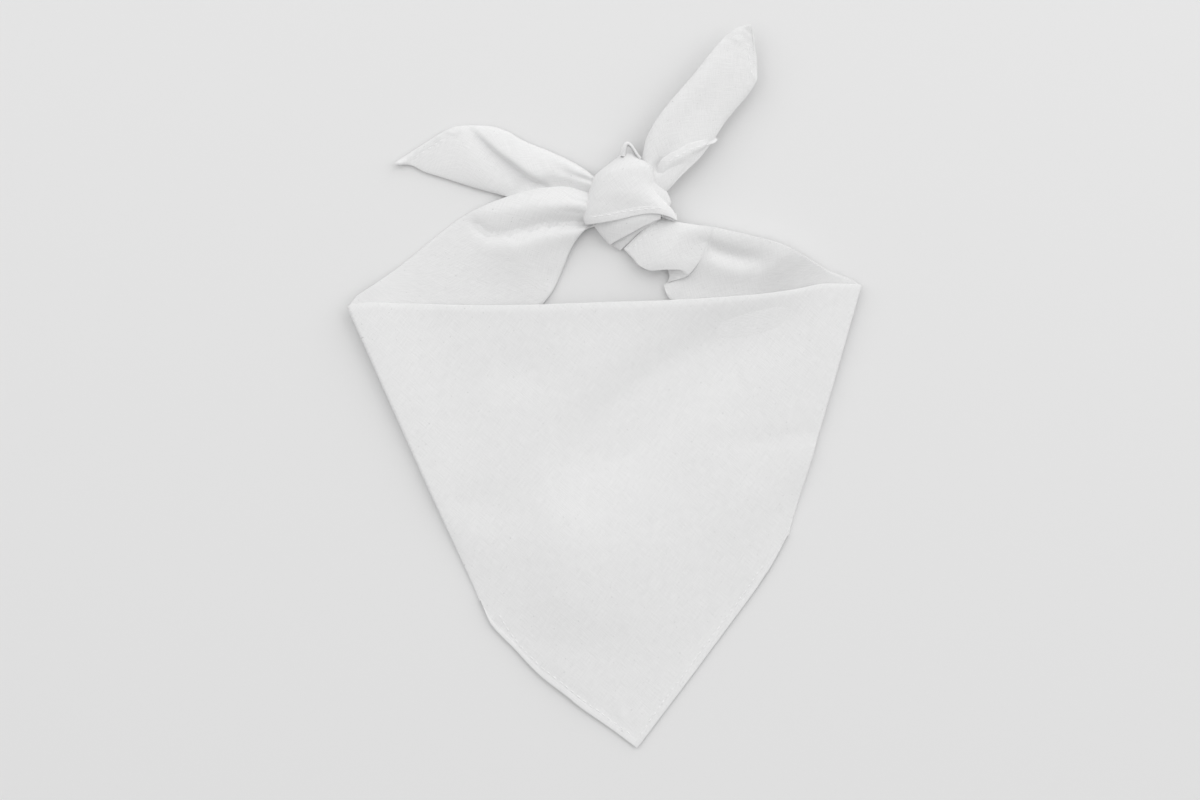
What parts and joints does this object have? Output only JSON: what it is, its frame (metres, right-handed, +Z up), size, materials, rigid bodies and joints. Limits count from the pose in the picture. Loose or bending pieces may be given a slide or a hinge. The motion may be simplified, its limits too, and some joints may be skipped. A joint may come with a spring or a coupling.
{
  "type": "folded and tied bandana",
  "caption": "Cotton bandana folded corner to corner, turned over into a band and knotted behind, lying flat with its point towards the front.",
  "frame": {"origin": "on the floor, under the middle of the whole outline", "axes": "+Z up from the floor, +Y from the pointed front towards the knot and the tied ends, +X to the right as seen from above"},
  "size_m": [0.2612, 0.3626, 0.0228],
  "materials": {
    "cotton": "plain woven cotton, matt, turned and stitched hem"
  },
  "bodies": {
    "root": {"bandana": "cotton"}
  },
  "joints": []
}
